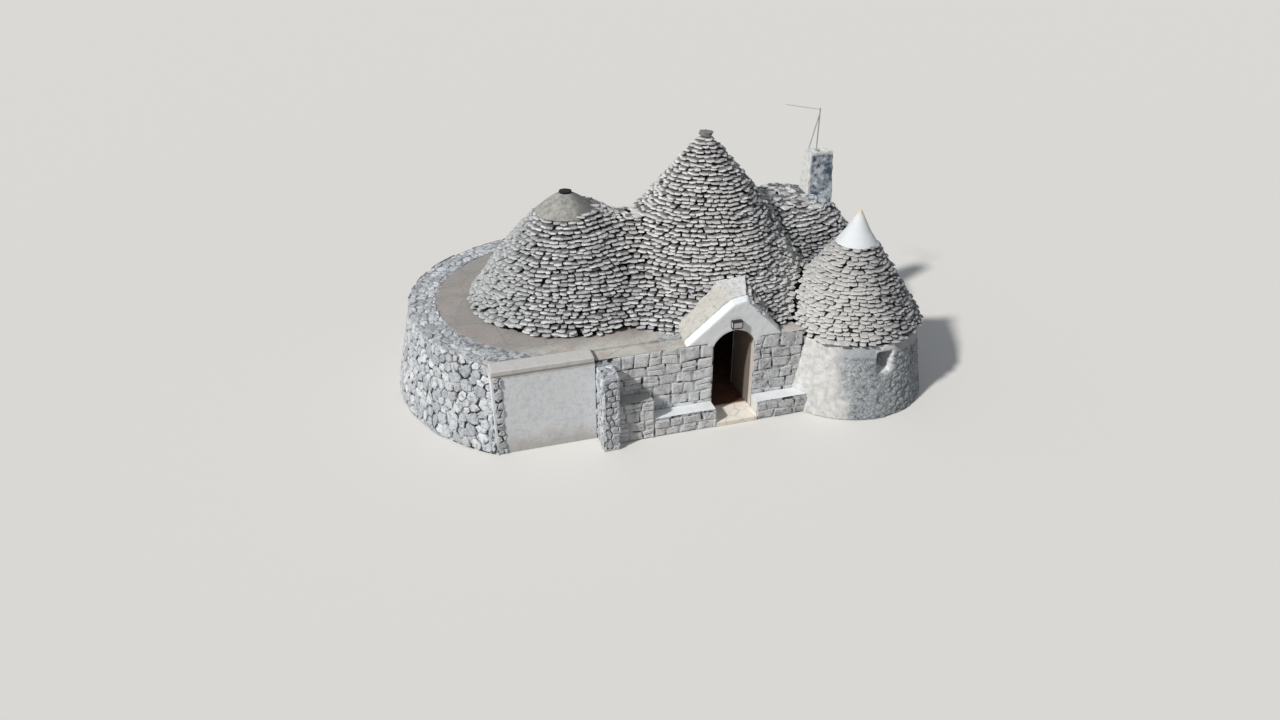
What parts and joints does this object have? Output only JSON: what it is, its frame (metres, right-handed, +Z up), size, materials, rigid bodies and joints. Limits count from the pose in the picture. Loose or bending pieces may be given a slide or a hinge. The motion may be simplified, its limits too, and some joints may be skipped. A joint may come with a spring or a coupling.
{
  "type": "trullo house",
  "caption": "Dry stone trullo house with joined conical roofs, a round walled terrace, a round tower with a white cap, a gabled arched doorway and a chimney.",
  "frame": {"origin": "on the axis of the main cone, at courtyard level, on the underside of the main floor", "axes": "+X to the right along the facade as seen from the courtyard, -Y out of the doorway, +Z up"},
  "size_m": [12.0397, 8.7799, 5.67],
  "materials": {
    "roof_stone": "rough dry limestone slabs, weathered grey",
    "wall_lime": "limewashed rubble masonry",
    "wall_stone": "rough hewn limestone blocks with pale joints",
    "white_plaster": "smooth whitewashed plaster",
    "cement": "weathered grey cement",
    "screed": "beige trowelled screed",
    "floor_stone": "worn brown floor",
    "aerial_metal": "dull metal tube",
    "lantern_metal": "dark painted metal with frosted glass"
  },
  "bodies": {
    "root": {"main_floor": "floor_stone", "left_floor": "floor_stone", "tower_floor": "floor_stone", "threshold": "floor_stone", "drum_wall_back_link": "wall_lime", "drum_wall_back": "wall_lime", "drum_wall_left": "wall_lime", "drum_wall_front_left": "wall_lime", "drum_wall_front_link": "wall_lime", "panel_wall": "white_plaster", "step_wall": "wall_stone", "front_wall_left": "wall_stone", "front_wall_right": "wall_stone", "main_wall_right": "wall_stone", "main_wall_back_right": "wall_stone", "main_wall_back": "wall_stone", "main_wall_back_left": "wall_stone", "hearth_wall_front": "wall_stone", "hearth_wall_back": "wall_stone", "hearth_breast": "wall_stone", "left_passage_front": "wall_stone", "left_passage_back": "wall_stone", "left_passage_lintel": "wall_stone", "tower_passage_front": "wall_stone", "tower_passage_back": "wall_stone", "tower_passage_lintel": "wall_stone", "tower_wall_left": "wall_lime", "tower_wall_window": "wall_lime", "tower_wall_right": "wall_lime", "tower_wall_back": "wall_lime", "door_arch": "white_plaster", "gable_wall": "white_plaster", "gable_slope_left": "white_plaster", "gable_slope_right": "white_plaster", "main_roof": "roof_stone", "main_top_stone": "cement", "left_roof": "roof_stone", "left_cap": "cement", "left_cap_stone": "cement", "hearth_roof": "roof_stone", "tower_roof": "roof_stone", "tower_cap": "white_plaster", "chimney": "wall_lime", "aerial": "aerial_metal", "terrace_screed": "screed", "panel_coping": "white_plaster", "panel_pier": "wall_stone", "stone_step": "wall_stone", "bench_left": "wall_stone", "bench_right": "wall_stone", "wall_lantern": "lantern_metal"}
  },
  "joints": []
}
